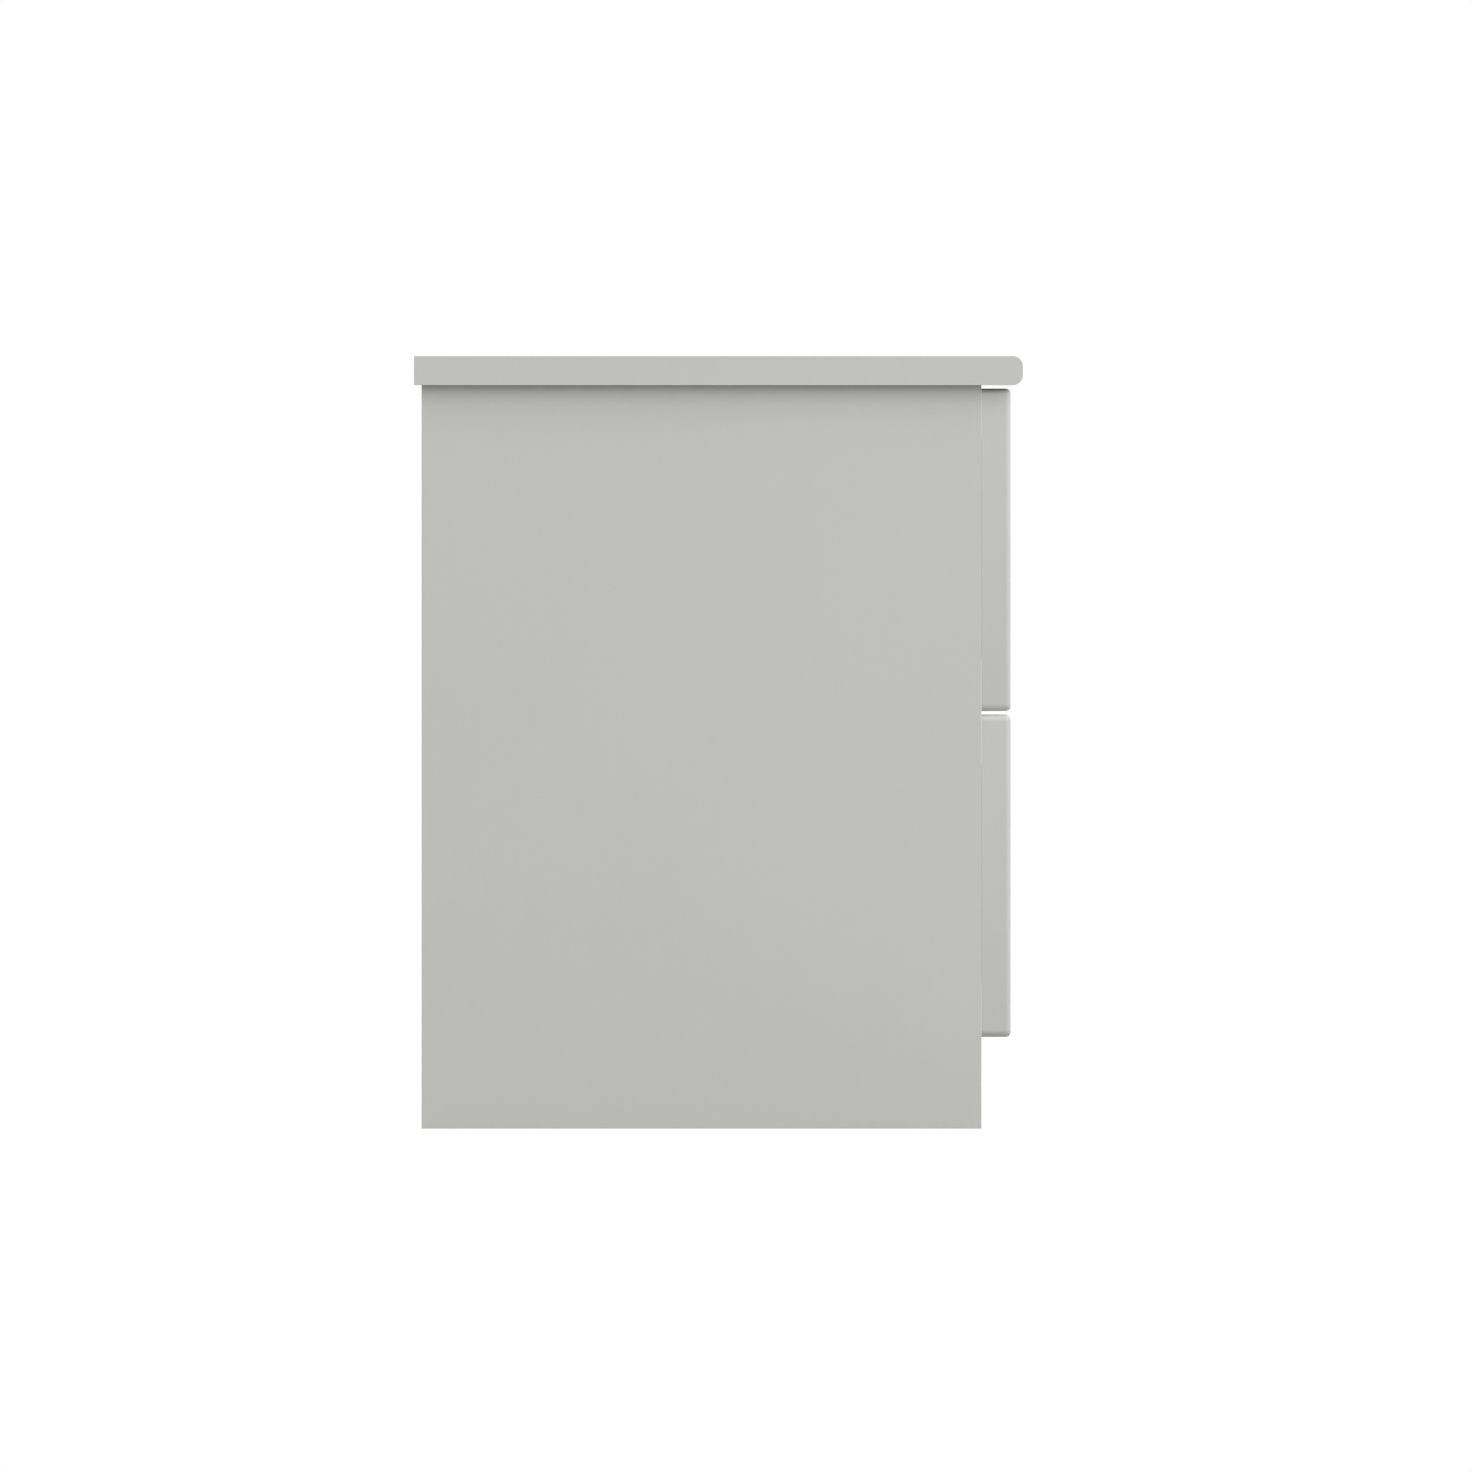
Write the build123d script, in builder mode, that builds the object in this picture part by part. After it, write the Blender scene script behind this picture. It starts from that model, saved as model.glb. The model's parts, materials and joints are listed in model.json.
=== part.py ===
from build123d import *
from collections import namedtuple
import os

# Nightstand with two drawers: a knock-down board carcass and two drawer boxes on roller runners.
# Millimetres, +Z up. The origin is on the floor, at the middle of the footprint of the top.
# The front faces -Y and the drawers open that way. Left is -X, as seen from the front.
# Pieces that come in pairs are made on the right and mirrored to the left.

os.makedirs("parts", exist_ok=True)

# Driving dimensions
height = 505
top_width = 450
top_depth = 398
board = 19  # carcass boards and drawer fronts
side_overhang = 8  # top past each side panel
front_overhang = 8  # top past the closed drawer fronts
rear_overhang = 5  # top past the side panels at the back
nose_radius = 6.5  # front edges of the top
edge_radius = 0.4  # edge banding
toe_height = 60  # floor to the base panel and the lower front
top_gap = 2.2  # upper front to the top
front_gap = 2.3  # between the two fronts
closing_gap = 0.05  # closed front to the carcass
front_inset = 0.5  # fronts inside the outer faces of the side panels
front_radius = 3.2  # routed edges of the fronts
front_corner_radius = 4.2
plinth_setback = 12
rail_width = 60
finger_room = 35  # from the back of a front to the rail behind it
back_thickness = 3
back_inset = 10  # back panel inside the rear edges of the side panels
back_panel_play = 0.5  # back panel to the ends of its grooves
groove_play = 0.4
side_groove_depth = 6
top_groove_depth = 5

# Fasteners and the play of their holes
hole_play = 0.1
dowel_chamfer = 0.7
dowel_radius = 4
dowel_in_face = 11
dowel_in_edge = 19
box_dowel_radius = 3
box_dowel_in_face = 10
box_dowel_in_edge = 15
small_screw_radius = 1.75  # brackets, drawer boxes and drawer runners
bracket_screw_length = 15
back_screw_length = 35
bottom_screw_length = 16
slider_screw_length = 10
small_pan_head = (3.5, 2)  # radius and height
top_screw_radius = 2
top_screw_length = 30
runner_screw_radius = 2.5
runner_screw_length = 12
runner_screw_head = (5, 1.8)
nail_radius = 0.9
nail_length = 18
nail_head = (2.2, 0.9)
bolt_collar = (0.6, 1.2)  # step out from the shaft, and height
bolt_tip = (0.8, 1.5)  # step in from the thread, and length
bolt_chamfer = 0.5
lock_chamfer = 0.4
lock_play = 0.4  # bolt in its lock
lock_drive_depth = 1.6
lock_mark_radius = 0.7  # pointer dimple in the face of a lock
lock_mark_depth = 0.4
pocket_play = 0.2
pocket_floor = 0.8  # room under a lock

# Drawer boxes
box_side = 12  # thickness of the sides and the back
box_height = 144
box_length = 350
box_lift = 34  # bottom of the front to the bottom of the box
bottom_thickness = 3
bottom_lift = 10.2  # bottom of the box to the bottom panel
bottom_groove_depth = 5.5
bottom_insertion = 5.3
bottom_play = 0.1  # bottom panel to the back on it
box_edge_radius = 1.5
box_foot_chamfer = 0.7  # clears the bend of the drawer member
scoop_top_width = 130
scoop_bottom_width = 90
scoop_depth = 24
scoop_shoulder_radius = 8
scoop_corner_radius = 14

# Roller runners, in one section: u from the cabinet side to the drawer, w up from the channel
runner_space = 12.7  # side panel to drawer box
sheet = 1.0
runner_length = 348
runner_setback = 2  # back of a front to the runners
channel_height = 32
channel_track = 11.1
channel_flange = 7.5
track_lip = 2.6
flange_lip = 4.5
bend_radius = 1.3
ledge_bend_radius = 0.5
ledge_lift = 2  # underside of the drawer member above the channel bottom
ledge_width = 12.5
slider_top = 23.95
slider_reach = 3.1  # edge of the drawer member's flange from the cabinet side
slider_lip = 2.1
roller_radius = 10.5
roller_width = 5.5
roller_u = 4.4
roller_bore = 2.1
front_roller_w = 12.2
rear_roller_w = 11.75
roller_inset = 14  # end of a runner to its roller's axis
travel = 260
stop_spacing = 10  # rear roller's axis to the stop, with the drawer open
stop_height = 4
stop_length = 2
rear_tab_height = 20

# Planes of the carcass
side_outer_x = top_width / 2 - side_overhang
side_inner_x = side_outer_x - board
side_middle_x = side_outer_x - board / 2
top_front_y = -top_depth / 2
top_rear_y = top_depth / 2
front_face_y = top_front_y + front_overhang
front_back_y = front_face_y + board
carcass_front_y = front_back_y + closing_gap
carcass_rear_y = top_rear_y - rear_overhang
side_height = height - board
back_panel_rear_y = carcass_rear_y - back_inset
back_panel_front_y = back_panel_rear_y - back_thickness
plinth_front_y = front_back_y + plinth_setback
plinth_rear_y = plinth_front_y + board
front_rail_y = front_back_y + finger_room
base_middle_z = toe_height + board / 2
rail_middle_z = side_height - board / 2
front_height = (side_height - top_gap - front_gap - toe_height) / 2
front_half_width = side_outer_x - front_inset
upper_front_z = toe_height + front_height + front_gap
middle_rail_z = upper_front_z - front_gap / 2

# Planes of the drawer boxes and runners
box_outer_x = side_inner_x - runner_space
box_inner_x = box_outer_x - box_side
box_middle_x = box_outer_x - box_side / 2
box_rear_y = front_back_y + box_length
box_back_y = box_rear_y - box_side / 2
channel_lift = box_lift - ledge_lift - sheet  # bottom of the front to the channel bottom
runner_front_y = front_back_y + runner_setback
runner_rear_y = runner_front_y + runner_length
front_roller_y = runner_front_y + roller_inset
rear_roller_y = runner_rear_y - roller_inset

drawers = {"lower": toe_height, "upper": upper_front_z}


def save(piece, name):
    """Label a finished piece and write its STEP file."""
    piece.part.label = name
    export_step(piece.part, f"parts/{name}.step")


def save_mirrored(right, name):
    """Write the left-hand twin of a right-hand piece."""
    with BuildPart() as left:
        mirror(right.part, about=Plane.YZ)
    save(left, name)


def rectangle_between(x0, x1, y0, y1, mode=Mode.ADD):
    """Rectangle between two corners of the current sketch."""
    with Locations(((x0 + x1) / 2, (y0 + y1) / 2)):
        Rectangle(x1 - x0, y1 - y0, mode=mode)


def box_between(x0, x1, y0, y1, z0, z1, mode=Mode.ADD):
    """Box between two corners of the current part."""
    with Locations(((x0 + x1) / 2, (y0 + y1) / 2, (z0 + z1) / 2)):
        Box(x1 - x0, y1 - y0, z1 - z0, mode=mode)


def cylinder_between(radius, z0, z1, mode=Mode.ADD):
    """Cylinder on the local Z axis of the current part."""
    with Locations((0, 0, (z0 + z1) / 2)):
        Cylinder(radius, z1 - z0, mode=mode)


# ---------------------------------------------------------------------------------------------
# Fasteners. Each stands on its local Z axis, which runs into the second board from z = 0.
# With play they give the hole to cut instead.
# ---------------------------------------------------------------------------------------------

CamFitting = namedtuple(
    "CamFitting",
    "lock_radius lock_depth axis_depth reach thread_radius thread_length "
    "shaft_radius neck_radius head_radius head_near head_far",
)
# reach is from the joint to the lock's axis, head_near and head_far are measured from that axis
carcass_cam = CamFitting(7.3, 12.5, board / 2, 34, 2.5, 11, 3, 1.7, 3, 4.5, 2)
drawer_cam = CamFitting(5.7, 9.4, box_side / 2, 24, 2, 10, 2.4, 1.3, 2.3, 3.6, 1.6)


def spin(*outline):
    """Revolve a closed (radius, z) outline into a private part."""
    with BuildPart() as body:
        with BuildSketch(Plane.XZ):
            with BuildLine():
                Polyline(*outline, close=True)
            make_face()
        revolve(axis=Axis.Z)
    return body.part


def cross_recess(radius, depth, z):
    """Cut a cross-slot drive into the current part."""
    with Locations((0, 0, z)):
        Box(2.4 * radius, 0.6 * radius, 2 * depth, mode=Mode.SUBTRACT)
        Box(0.6 * radius, 2.4 * radius, 2 * depth, mode=Mode.SUBTRACT)


def dowel(radius, in_first, in_second, play=0):
    with BuildPart() as pin:
        cylinder_between(radius + play, -in_first - play, in_second + play)
        if not play:
            chamfer(pin.edges().filter_by(GeomType.CIRCLE), length=dowel_chamfer)
    return pin.part


def cam_bolt(cam):
    start = cam.reach - cam.head_near
    end = cam.reach - cam.head_far
    neck_start = cam.reach - cam.lock_radius - bolt_chamfer
    collar_step, collar_height = bolt_collar
    collar = cam.shaft_radius + collar_step
    tip_step, tip_length = bolt_tip
    return spin(
        (0, -cam.thread_length),
        (cam.thread_radius - tip_step, -cam.thread_length),
        (cam.thread_radius, -cam.thread_length + tip_length),
        (cam.thread_radius, 0),
        (collar, 0),
        (collar, collar_height),
        (cam.shaft_radius, collar_height),
        (cam.shaft_radius, neck_start),
        (cam.neck_radius, neck_start),
        (cam.neck_radius, start),
        (cam.head_radius, start),
        (cam.head_radius, end - bolt_chamfer),
        (cam.head_radius - bolt_chamfer, end),
        (0, end),
    )


def cam_bolt_hole(cam):
    with BuildPart() as hole:
        cylinder_between(cam.thread_radius + hole_play, -cam.thread_length - hole_play, 0)
        cylinder_between(cam.shaft_radius + 1, 0, cam.reach)
    return hole.part


def cam_lock(cam):
    """Cam lock with its face at z = 0 and its body below. The bolt comes in from local +X."""
    head_room = cam.head_radius + lock_play
    neck_room = cam.neck_radius + lock_play
    with BuildPart() as lock:
        cylinder_between(cam.lock_radius, -cam.lock_depth, 0)
        chamfer(lock.edges().filter_by(GeomType.CIRCLE).sort_by(Axis.Z)[-1], length=lock_chamfer)
        box_between(
            cam.head_far - lock_play, cam.head_near + lock_play, -head_room, head_room,
            -cam.lock_depth, head_room - cam.axis_depth, mode=Mode.SUBTRACT,
        )
        box_between(
            cam.head_near, cam.lock_radius + 1, -neck_room, neck_room,
            -cam.lock_depth, neck_room - cam.axis_depth, mode=Mode.SUBTRACT,
        )
        cross_recess(cam.lock_radius / 2.6, lock_drive_depth, 0)
        with Locations((cam.lock_radius * 0.72, 0, 0)):
            Cylinder(lock_mark_radius, 2 * lock_mark_depth, mode=Mode.SUBTRACT)
    return lock.part


def cam_lock_pocket(cam):
    with BuildPart() as pocket:
        cylinder_between(cam.lock_radius + pocket_play, -cam.lock_depth - pocket_floor, 0)
    return pocket.part


def countersunk_screw(radius, length, play=0):
    """Screw whose flat head is at z = 0."""
    head = 2 * radius + play
    shank = radius + play
    tip = length + play
    with BuildPart() as screw:
        add(spin((0, 0), (head, 0), (shank, radius), (shank, tip - radius), (0, tip)))
        if not play:
            cross_recess(radius, 0.7 * radius, 0)
    return screw.part


def pan_screw(radius, length, head_radius, head_height):
    """Screw whose head stands below z = 0."""
    crown = head_height / 3
    with BuildPart() as screw:
        add(
            spin(
                (0, -head_height),
                (head_radius - crown, -head_height),
                (head_radius, crown - head_height),
                (head_radius, 0),
                (radius, 0),
                (radius, length - radius),
                (0, length),
            )
        )
        cross_recess(radius, 0.6 * head_height, -head_height)
    return screw.part


def nail(radius, length, head_radius, head_height):
    """Nail whose head, rounded at the rim, stands below z = 0."""
    with BuildPart() as body:
        cylinder_between(head_radius, -head_height, 0)
        fillet(body.edges().filter_by(GeomType.CIRCLE).sort_by(Axis.Z)[0], radius=0.6 * head_height)
        start = -head_height / 2
        add(spin((0, start), (radius, start), (radius, length - 2 * radius), (0, length)))
    return body.part


def plain_hole(radius, start, end):
    with BuildPart() as hole:
        cylinder_between(radius + hole_play, start, end + hole_play)
    return hole.part


# ---------------------------------------------------------------------------------------------
# Where the fasteners of the carcass go, on the right-hand side
# ---------------------------------------------------------------------------------------------


def into_board(y, z):
    """On the right side panel's inner face, pointing into the board that butts against it."""
    return Plane(origin=(side_inner_x, y, z), x_dir=(0, 1, 0), z_dir=(-1, 0, 0))


def into_side(y):
    """Under the top, pointing down into the middle of the right side panel."""
    return Plane(origin=(side_middle_x, y, side_height), x_dir=(0, 1, 0), z_dir=(0, 0, -1))


def lock_below(y, z):
    """Cam lock in the underside of a board, turned towards the right side panel."""
    x = side_inner_x - carcass_cam.reach
    return Plane(origin=(x, y, z), x_dir=(1, 0, 0), z_dir=(0, 0, -1))


def lock_inside(y):
    """Cam lock in the right side panel's inner face, turned up towards the top."""
    z = side_height - carcass_cam.reach
    return Plane(origin=(side_inner_x, y, z), x_dir=(0, 0, 1), z_dir=(-1, 0, 0))


base_dowels_y = [-150, 100]
base_cams_y = [-118, 132]
top_dowels_y = [-56, 60]
top_cams_y = [-150, 100]
rail_dowel_y = front_rail_y + 10
rail_cam_y = front_rail_y + 40
rear_rail_dowel_y = back_panel_front_y - 15
rear_rail_cam_y = back_panel_front_y - 45
plinth_middle_y = plinth_front_y + board / 2
plinth_dowel_z = 45

dowel_planes = (
    [into_board(y, base_middle_z) for y in base_dowels_y]
    + [into_side(y) for y in top_dowels_y]
    + [into_board(rail_dowel_y, z) for z in (rail_middle_z, middle_rail_z)]
    + [into_board(rear_rail_dowel_y, rail_middle_z)]
    + [into_board(plinth_middle_y, plinth_dowel_z)]
)
bolt_planes = (
    [into_board(y, base_middle_z) for y in base_cams_y]
    + [into_side(y) for y in top_cams_y]
    + [into_board(rail_cam_y, z) for z in (rail_middle_z, middle_rail_z)]
    + [into_board(rear_rail_cam_y, rail_middle_z)]
)
lock_planes = (
    [lock_below(y, toe_height) for y in base_cams_y]
    + [lock_inside(y) for y in top_cams_y]
    + [lock_below(rail_cam_y, z - board / 2) for z in (rail_middle_z, middle_rail_z)]
    + [lock_below(rear_rail_cam_y, rail_middle_z - board / 2)]
)

# Corner brackets behind the plinth, one against each side panel and one under the base
bracket_arm = 20
bracket_length = 30
bracket_wall = 4
bracket_rib = 2
bracket_hole = 13
side_bracket_z = 24
base_bracket_x = 110
bracket_planes = [
    Plane(origin=(side_inner_x, plinth_rear_y, side_bracket_z), x_dir=(-1, 0, 0), z_dir=(0, 1, 0)),
    Plane(origin=(base_bracket_x, plinth_rear_y, toe_height), x_dir=(0, 1, 0), z_dir=(0, 0, -1)),
]

# Screws up through the rails into the top, and nails through the back panel
top_screw_x = 120
rail_screws_y = [front_rail_y + rail_width / 2, back_panel_front_y - rail_width / 2]
top_screw_planes = [
    Plane(origin=(top_screw_x, y, side_height - board), x_dir=(1, 0, 0), z_dir=(0, 0, 1))
    for y in rail_screws_y
]
nail_planes = [
    Plane(origin=(x, back_panel_rear_y, z), x_dir=(1, 0, 0), z_dir=(0, -1, 0))
    for x in (55, 165)
    for z in (base_middle_z, rail_middle_z)
]

# Screws of the cabinet runners into the side panels
runner_screw_w = 16
runner_screws_y = [runner_front_y + distance for distance in (35, 163, 323)]


def runner_section(z, y):
    """Section plane of a right-hand runner: local x is u, local y is w, normal to the back."""
    return Plane(origin=(side_inner_x, y, z), x_dir=(-1, 0, 0), z_dir=(0, 1, 0))


def across_runner(y, z, u):
    """Across a right-hand runner at a height z, pointing from the cabinet to the drawer."""
    return Plane(origin=(side_inner_x - u, y, z), x_dir=(0, 1, 0), z_dir=(-1, 0, 0))


def back_across_runner(y, z, u):
    """Across a right-hand runner at a height z, pointing from the drawer to the cabinet."""
    return Plane(origin=(side_inner_x - u, y, z), x_dir=(0, 1, 0), z_dir=(1, 0, 0))


channels = {name: bottom + channel_lift for name, bottom in drawers.items()}
runner_screw_planes = [
    back_across_runner(y, z + runner_screw_w, sheet) for z in channels.values() for y in runner_screws_y
]


def bracket_screw_holes(play=0):
    """The two screws of a corner bracket, in the bracket's frame."""
    screw = countersunk_screw(small_screw_radius, bracket_screw_length, play)
    with BuildPart() as pair:
        with Locations(
            Plane(origin=(bracket_hole, 0, bracket_wall), x_dir=(1, 0, 0), z_dir=(0, 0, -1)),
            Plane(origin=(bracket_wall, 0, bracket_hole), x_dir=(0, 1, 0), z_dir=(-1, 0, 0)),
        ):
            add(screw)
    return pair.part


# Everything that is drilled out of the carcass boards and brackets
with BuildPart() as drilling:
    with Locations(*dowel_planes):
        add(dowel(dowel_radius, dowel_in_face, dowel_in_edge, hole_play))
    with Locations(*bolt_planes):
        add(cam_bolt_hole(carcass_cam))
    with Locations(*lock_planes):
        add(cam_lock_pocket(carcass_cam))
    with Locations(*bracket_planes):
        add(bracket_screw_holes(hole_play))
    with Locations(*top_screw_planes):
        add(countersunk_screw(top_screw_radius, top_screw_length, hole_play))
    with Locations(*nail_planes):
        add(plain_hole(nail_radius, 0, nail_length))
    with Locations(*runner_screw_planes):
        add(plain_hole(runner_screw_radius, -sheet, runner_screw_length + sheet))
    mirror(about=Plane.YZ)

# ---------------------------------------------------------------------------------------------
# Carcass boards
# ---------------------------------------------------------------------------------------------

# Top: rounded nose at the front, square at the back, grooved below for the back panel
with BuildPart() as top_panel:
    with BuildSketch(Plane.XY.offset(side_height)):
        rectangle_between(-top_width / 2, top_width / 2, top_front_y, top_rear_y)
    extrude(amount=board)
    fillet(top_panel.faces().sort_by(Axis.Y)[0].edges().filter_by(Axis.X), radius=nose_radius)
    fillet(top_panel.edges().filter_by(Axis.X).group_by(Axis.Y)[-1], radius=edge_radius)
    with BuildSketch(Plane.XY.offset(side_height)):
        rectangle_between(
            -side_inner_x - side_groove_depth,
            side_inner_x + side_groove_depth,
            back_panel_front_y - groove_play / 2,
            back_panel_rear_y + groove_play / 2,
        )
    extrude(amount=top_groove_depth, mode=Mode.SUBTRACT)
    add(drilling.part, mode=Mode.SUBTRACT)
save(top_panel, "top_panel")

# Side panel: stands on the floor, grooved inside for the back panel
with BuildPart() as side_panel:
    with BuildSketch(Plane.XY):
        rectangle_between(side_inner_x, side_outer_x, carcass_front_y, carcass_rear_y)
    extrude(amount=side_height)
    fillet(side_panel.edges().filter_by(Axis.Z), radius=edge_radius)
    with BuildSketch(Plane.XY.offset(toe_height)):
        rectangle_between(
            side_inner_x,
            side_inner_x + side_groove_depth,
            back_panel_front_y - groove_play / 2,
            back_panel_rear_y + groove_play / 2,
        )
    extrude(amount=side_height - toe_height, mode=Mode.SUBTRACT)
    add(drilling.part, mode=Mode.SUBTRACT)
save(side_panel, "right_side_panel")
save_mirrored(side_panel, "left_side_panel")

# Base panel between the sides, flush with their front edges
with BuildPart() as base_panel:
    with BuildSketch(Plane.XY.offset(toe_height)):
        rectangle_between(-side_inner_x, side_inner_x, carcass_front_y, back_panel_front_y)
    extrude(amount=board)
    fillet(base_panel.edges().filter_by(Axis.X).group_by(Axis.Y)[0], radius=edge_radius)
    add(drilling.part, mode=Mode.SUBTRACT)
save(base_panel, "base_panel")

# Plinth board, set back under the base
with BuildPart() as plinth_board:
    with BuildSketch(Plane.XY):
        rectangle_between(-side_inner_x, side_inner_x, plinth_front_y, plinth_rear_y)
    extrude(amount=toe_height)
    add(drilling.part, mode=Mode.SUBTRACT)
save(plinth_board, "plinth_board")

# Back panel: thin hardboard in the grooves of the sides and the top
back_half_width = side_inner_x + side_groove_depth - back_panel_play
with BuildPart() as back_panel:
    with BuildSketch(Plane.XY.offset(toe_height)):
        rectangle_between(-back_half_width, back_half_width, back_panel_front_y, back_panel_rear_y)
    extrude(amount=side_height + top_groove_depth - back_panel_play - toe_height)
    add(drilling.part, mode=Mode.SUBTRACT)
save(back_panel, "back_panel")

# Rails: two under the top, and one between the drawers
rails = {
    "front_top_rail": (front_rail_y, rail_middle_z),
    "rear_top_rail": (back_panel_front_y - rail_width, rail_middle_z),
    "middle_rail": (front_rail_y, middle_rail_z),
}
for rail_name, (rail_y, rail_z) in rails.items():
    with BuildPart() as rail:
        with BuildSketch(Plane.XY.offset(rail_z - board / 2)):
            rectangle_between(-side_inner_x, side_inner_x, rail_y, rail_y + rail_width)
        extrude(amount=board)
        fillet(rail.edges().filter_by(Axis.X).group_by(Axis.Y)[0], radius=edge_radius)
        add(drilling.part, mode=Mode.SUBTRACT)
    save(rail, rail_name)

# ---------------------------------------------------------------------------------------------
# Carcass fasteners
# ---------------------------------------------------------------------------------------------

with BuildPart() as carcass_dowels:
    with Locations(*dowel_planes):
        add(dowel(dowel_radius, dowel_in_face, dowel_in_edge))
    mirror(about=Plane.YZ)
save(carcass_dowels, "carcass_dowels")

with BuildPart() as carcass_cam_bolts:
    with Locations(*bolt_planes):
        add(cam_bolt(carcass_cam))
    mirror(about=Plane.YZ)
save(carcass_cam_bolts, "carcass_cam_bolts")

with BuildPart() as carcass_cam_locks:
    with Locations(*lock_planes):
        add(cam_lock(carcass_cam))
    mirror(about=Plane.YZ)
save(carcass_cam_locks, "carcass_cam_locks")

# Corner bracket: two arms with a rib at each end
with BuildPart() as bracket:
    with BuildSketch(Plane.XZ.offset(-bracket_length / 2)):
        with BuildLine():
            Polyline(
                (0, 0),
                (bracket_arm, 0),
                (bracket_arm, bracket_wall),
                (bracket_wall, bracket_wall),
                (bracket_wall, bracket_arm),
                (0, bracket_arm),
                close=True,
            )
        make_face()
    extrude(amount=bracket_length)
    for rib_y in (-bracket_length / 2, bracket_length / 2 - bracket_rib):
        with BuildSketch(Plane.XZ.offset(-rib_y - bracket_rib)):
            with BuildLine():
                Polyline(
                    (bracket_wall, bracket_wall),
                    (bracket_arm, bracket_wall),
                    (bracket_wall, bracket_arm),
                    close=True,
                )
            make_face()
        extrude(amount=bracket_rib)

with BuildPart() as plinth_brackets:
    with Locations(*bracket_planes):
        add(bracket.part)
    mirror(about=Plane.YZ)
    add(drilling.part, mode=Mode.SUBTRACT)
save(plinth_brackets, "plinth_brackets")

with BuildPart() as plinth_bracket_screws:
    with Locations(*bracket_planes):
        add(bracket_screw_holes())
    mirror(about=Plane.YZ)
save(plinth_bracket_screws, "plinth_bracket_screws")

with BuildPart() as top_fixing_screws:
    with Locations(*top_screw_planes):
        add(countersunk_screw(top_screw_radius, top_screw_length))
    mirror(about=Plane.YZ)
save(top_fixing_screws, "top_fixing_screws")

with BuildPart() as back_panel_nails:
    with Locations(*nail_planes):
        add(nail(nail_radius, nail_length, *nail_head))
    mirror(about=Plane.YZ)
save(back_panel_nails, "back_panel_nails")

# ---------------------------------------------------------------------------------------------
# Runners and rollers
# ---------------------------------------------------------------------------------------------

with BuildPart() as cabinet_runner_screws:
    with Locations(*runner_screw_planes):
        add(pan_screw(runner_screw_radius, runner_screw_length + sheet, *runner_screw_head))
    mirror(about=Plane.YZ)
save(cabinet_runner_screws, "cabinet_runner_screws")

pin_radius = roller_bore - hole_play
pin_shoulder_radius = 3.5
pin_head_radius = 3.25
pin_head = 0.6
roller_side_play = 0.2
cabinet_shoulder = roller_u - roller_side_play
drawer_shoulder = runner_space - roller_u - roller_width - roller_side_play


def roller_pin(shoulder):
    """Riveted pin: through the sheet, a shoulder, the bearing for the roller and a flat head."""
    head = shoulder + roller_side_play + roller_width + hole_play
    return spin(
        (0, hole_play),
        (pin_radius, hole_play),
        (pin_radius, sheet),
        (pin_shoulder_radius, sheet),
        (pin_shoulder_radius, shoulder),
        (pin_radius, shoulder),
        (pin_radius, head),
        (pin_head_radius, head),
        (pin_head_radius, head + pin_head - 0.2),
        (pin_head_radius - 0.2, head + pin_head),
        (0, head + pin_head),
    )


cabinet_pin_planes = [across_runner(front_roller_y, z + front_roller_w, 0) for z in channels.values()]
with BuildPart() as cabinet_roller_pins:
    with Locations(*cabinet_pin_planes):
        add(roller_pin(cabinet_shoulder))
    mirror(about=Plane.YZ)
save(cabinet_roller_pins, "cabinet_roller_pins")

# Roller: a nylon wheel with a hub and a recess on each side
hub_radius = 4.2
rim_inner_radius = 8.4
roller_recess = 1.4
roller_chamfer = 0.5
with BuildPart() as roller:
    with BuildSketch(Plane.XZ):
        with BuildLine():
            Polyline(
                (roller_bore, 0),
                (hub_radius, 0),
                (hub_radius, roller_recess),
                (rim_inner_radius, roller_recess),
                (rim_inner_radius, 0),
                (roller_radius - roller_chamfer, 0),
                (roller_radius, roller_chamfer),
                (roller_radius, roller_width - roller_chamfer),
                (roller_radius - roller_chamfer, roller_width),
                (rim_inner_radius, roller_width),
                (rim_inner_radius, roller_width - roller_recess),
                (hub_radius, roller_width - roller_recess),
                (hub_radius, roller_width),
                (roller_bore, roller_width),
                close=True,
            )
        make_face()
    revolve(axis=Axis.Z)

for level, channel_z in channels.items():
    # Cabinet member: a channel open to the drawer, with a stop for the rear roller
    with BuildPart() as cabinet_runner:
        with BuildSketch(runner_section(channel_z, runner_front_y)):
            with BuildLine():
                FilletPolyline(
                    (channel_flange, channel_height - flange_lip),
                    (channel_flange, channel_height),
                    (0, channel_height),
                    (0, 0),
                    (channel_track, 0),
                    (channel_track, track_lip),
                    radius=bend_radius,
                )
                offset(amount=sheet, side=Side.LEFT)
            make_face()
        extrude(amount=runner_length)
        stop_y = rear_roller_y - travel - stop_spacing
        with BuildSketch(runner_section(channel_z, stop_y)):
            rectangle_between(roller_u, roller_u + roller_width, sheet / 2, stop_height)
        extrude(amount=stop_length)
        with BuildSketch(runner_section(channel_z, runner_rear_y - sheet)):
            rectangle_between(sheet / 2, channel_track - sheet / 2, sheet / 2, rear_tab_height)
        extrude(amount=sheet)
        with Locations(across_runner(front_roller_y, channel_z + front_roller_w, 0)):
            Cylinder(pin_radius + hole_play, 4 * sheet, mode=Mode.SUBTRACT)
        add(drilling.part, mode=Mode.SUBTRACT)
    save(cabinet_runner, f"{level}_right_cabinet_runner")
    save_mirrored(cabinet_runner, f"{level}_left_cabinet_runner")

    # Rollers: the front one turns on the cabinet, the rear one on the drawer
    roller_places = {"front": (front_roller_y, front_roller_w), "rear": (rear_roller_y, rear_roller_w)}
    for end, (roller_y, roller_w) in roller_places.items():
        with BuildPart() as placed_roller:
            with Locations(across_runner(roller_y, channel_z + roller_w, roller_u)):
                add(roller.part)
        save(placed_roller, f"{level}_right_{end}_roller")
        save_mirrored(placed_roller, f"{level}_left_{end}_roller")

# ---------------------------------------------------------------------------------------------
# Drawers
# ---------------------------------------------------------------------------------------------

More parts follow.
